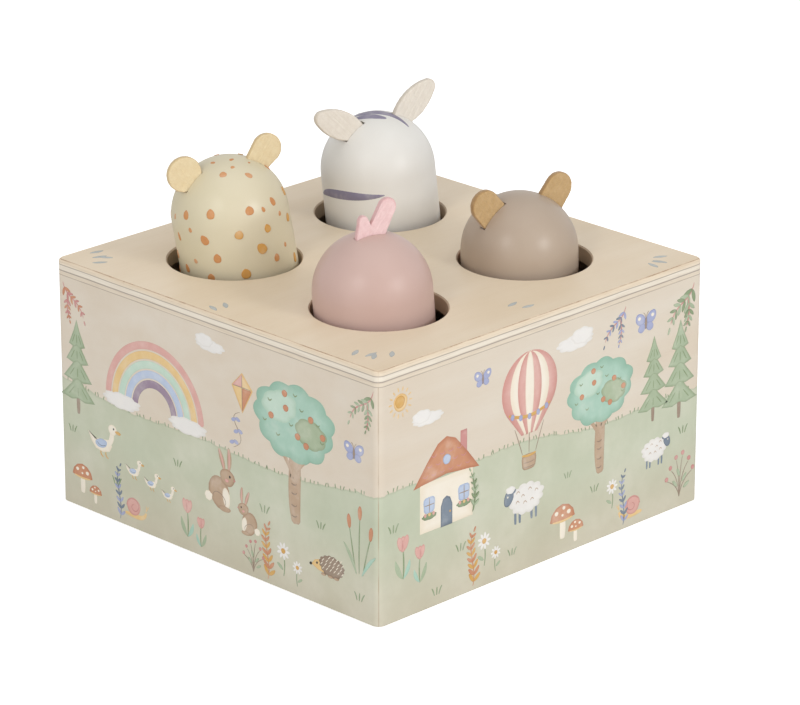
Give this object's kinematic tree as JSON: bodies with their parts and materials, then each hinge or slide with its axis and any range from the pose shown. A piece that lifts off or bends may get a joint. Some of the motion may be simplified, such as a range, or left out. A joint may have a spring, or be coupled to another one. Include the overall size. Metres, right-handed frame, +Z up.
{
  "type": "pop up animal toy",
  "caption": "Square wooden case with round holes in its deck; in each a round-topped animal peg stands on a ball and coil spring, pops up when pressed, rocks and lifts out.",
  "frame": {"origin": "under the middle of the case, on the plane that the case stands on", "axes": "+Z up out of the deck, X and Y along the case's sides; -Y is the front panel and the animals face +Y"},
  "size_m": [0.14, 0.14, 0.1196],
  "materials": {
    "birch_plywood": "clear satin lacquer, laminated edge showing",
    "painted_plywood": "matt watercolour print under clear lacquer",
    "turned_birch": "turned and sanded, bare",
    "zinc_steel": "zinc plated",
    "spring_steel": "bright drawn wire",
    "sage_cream_paint": "satin paint with painted spots",
    "off_white_paint": "satin paint with painted stripes",
    "taupe_paint": "satin paint",
    "dusty_pink_paint": "satin paint",
    "cream_felt": "pressed felt",
    "ivory_felt": "pressed felt",
    "tan_felt": "pressed felt",
    "pink_felt": "pressed felt"
  },
  "bodies": {
    "case": {"top_plate": "birch_plywood", "front_panel": "painted_plywood", "left_panel": "painted_plywood", "back_panel": "painted_plywood", "right_panel": "painted_plywood", "base_board": "birch_plywood", "seat_screws": "zinc_steel", "leopard_spring_seat": "turned_birch", "zebra_spring_seat": "turned_birch", "bear_spring_seat": "turned_birch", "bird_spring_seat": "turned_birch"},
    "leopard_press": {"leopard_spring": "spring_steel"},
    "leopard_rock": {"leopard_ball": "turned_birch"},
    "leopard_figure": {"leopard_body": "sage_cream_paint", "leopard_left_ear": "cream_felt", "leopard_right_ear": "cream_felt"},
    "zebra_press": {"zebra_spring": "spring_steel"},
    "zebra_rock": {"zebra_ball": "turned_birch"},
    "zebra_figure": {"zebra_body": "off_white_paint", "zebra_left_ear": "ivory_felt", "zebra_right_ear": "ivory_felt"},
    "bear_press": {"bear_spring": "spring_steel"},
    "bear_rock": {"bear_ball": "turned_birch"},
    "bear_figure": {"bear_body": "taupe_paint", "bear_left_ear": "tan_felt", "bear_right_ear": "tan_felt"},
    "bird_press": {"bird_spring": "spring_steel"},
    "bird_rock": {"bird_ball": "turned_birch"},
    "bird_figure": {"bird_body": "dusty_pink_paint", "bird_crest": "pink_felt"}
  },
  "joints": [
    {"name": "leopard_press", "type": "slide", "parent": "case", "child": "leopard_press", "axis": [-0.1106, 0.1106, 0.9877], "range_m": [-0.028, 0], "stiffness_N_per_m": 250, "springref_m": 0.00128, "deforming": ["leopard_spring"]},
    {"name": "leopard_rock", "type": "hinge", "parent": "leopard_press", "child": "leopard_rock", "pos_m": [-0.02878, 0.02878, 0.06399], "axis": [-0.7071, -0.7071, 0], "range_deg": [-0.5, 3], "stiffness_Nm_per_rad": 0.05, "springref_deg": -0.92},
    {"name": "leopard_lift", "type": "slide", "parent": "leopard_rock", "child": "leopard_figure", "axis": [-0.1106, 0.1106, 0.9877], "range_m": [0, 0.08]},
    {"name": "zebra_press", "type": "slide", "parent": "case", "child": "zebra_press", "axis": [-0.0678, 0.0678, 0.9954], "range_m": [-0.028, 0], "stiffness_N_per_m": 250, "springref_m": 0.00129, "deforming": ["zebra_spring"]},
    {"name": "zebra_rock", "type": "hinge", "parent": "zebra_press", "child": "zebra_rock", "pos_m": [0.03285, 0.02975, 0.06367], "axis": [-0.7071, -0.7071, 0], "range_deg": [-2, 4], "stiffness_Nm_per_rad": 0.05, "springref_deg": -0.56},
    {"name": "zebra_lift", "type": "slide", "parent": "zebra_rock", "child": "zebra_figure", "axis": [-0.0678, 0.0678, 0.9954], "range_m": [0, 0.08]},
    {"name": "bear_press", "type": "slide", "parent": "case", "child": "bear_press", "axis": [-0.0123, 0.0123, 0.9998], "range_m": [-0.016, 0], "stiffness_N_per_m": 250, "springref_m": 0.0013, "deforming": ["bear_spring"]},
    {"name": "bear_rock", "type": "hinge", "parent": "bear_press", "child": "bear_rock", "pos_m": [0.03053, -0.03053, 0.052], "axis": [-0.7071, -0.7071, 0], "range_deg": [-4.5, 1], "stiffness_Nm_per_rad": 0.05, "springref_deg": -0.1},
    {"name": "bear_lift", "type": "slide", "parent": "bear_rock", "child": "bear_figure", "axis": [-0.0123, 0.0123, 0.9998], "range_m": [0, 0.08]},
    {"name": "bird_press", "type": "slide", "parent": "case", "child": "bird_press", "axis": [-0.0493, 0.0493, 0.9976], "range_m": [-0.0186, 0], "stiffness_N_per_m": 250, "springref_m": 0.0013, "deforming": ["bird_spring"]},
    {"name": "bird_rock", "type": "hinge", "parent": "bird_press", "child": "bird_rock", "pos_m": [-0.03116, -0.03144, 0.05466], "axis": [-0.7071, -0.7071, 0], "range_deg": [-6, 1], "stiffness_Nm_per_rad": 0.05, "springref_deg": -0.41},
    {"name": "bird_lift", "type": "slide", "parent": "bird_rock", "child": "bird_figure", "axis": [-0.0493, 0.0493, 0.9976], "range_m": [0, 0.08]}
  ]
}
